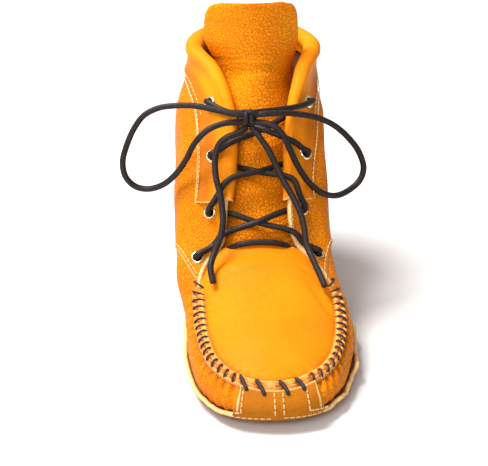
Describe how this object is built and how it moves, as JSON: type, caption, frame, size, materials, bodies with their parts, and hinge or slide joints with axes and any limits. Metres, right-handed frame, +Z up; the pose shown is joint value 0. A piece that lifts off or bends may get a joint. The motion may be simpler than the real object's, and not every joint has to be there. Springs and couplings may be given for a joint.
{
  "type": "moccasin ankle boot",
  "caption": "Low laced moccasin ankle boot in golden hide with a whip-stitched apron toe, wrapped soft sole, tall tongue, rolled collar cuff and a leather lace tied in a bow.",
  "frame": {"origin": "on the floor under the middle of the boot, the hanging lace left aside", "axes": "+Z up, -Y toward the toe, +X toward the outer side of the left foot"},
  "size_m": [0.1574, 0.2848, 0.195],
  "materials": {
    "upper_leather": "pebbled golden hide, satin",
    "plug_leather": "smooth golden hide, satin",
    "sole_leather": "matt oiled hide",
    "cuff_leather": "smooth soft hide, satin",
    "suede": "brown suede, matt",
    "eyelet_metal": "nickel plated, satin",
    "lace_leather": "dark brown hide lace, satin"
  },
  "bodies": {
    "root": {"upper": "upper_leather", "outsole": "sole_leather", "insole": "suede", "tongue": "upper_leather", "plug": "plug_leather", "collar_cuff": "cuff_leather", "eyelet_inner_1": "eyelet_metal", "eyelet_outer_1": "eyelet_metal", "eyelet_inner_2": "eyelet_metal", "eyelet_outer_2": "eyelet_metal", "eyelet_inner_3": "eyelet_metal", "eyelet_outer_3": "eyelet_metal", "eyelet_inner_4": "eyelet_metal", "eyelet_outer_4": "eyelet_metal", "lace_bar": "lace_leather", "lace_crossing_low": "lace_leather", "lace_crossing_middle": "lace_leather", "lace_crossing_high": "lace_leather", "lace_top_inner": "lace_leather", "lace_top_outer": "lace_leather", "lace_knot": "lace_leather", "lace_loop_inner": "lace_leather", "lace_loop_outer": "lace_leather", "lace_end_inner": "lace_leather", "lace_end_outer": "lace_leather"}
  },
  "joints": []
}
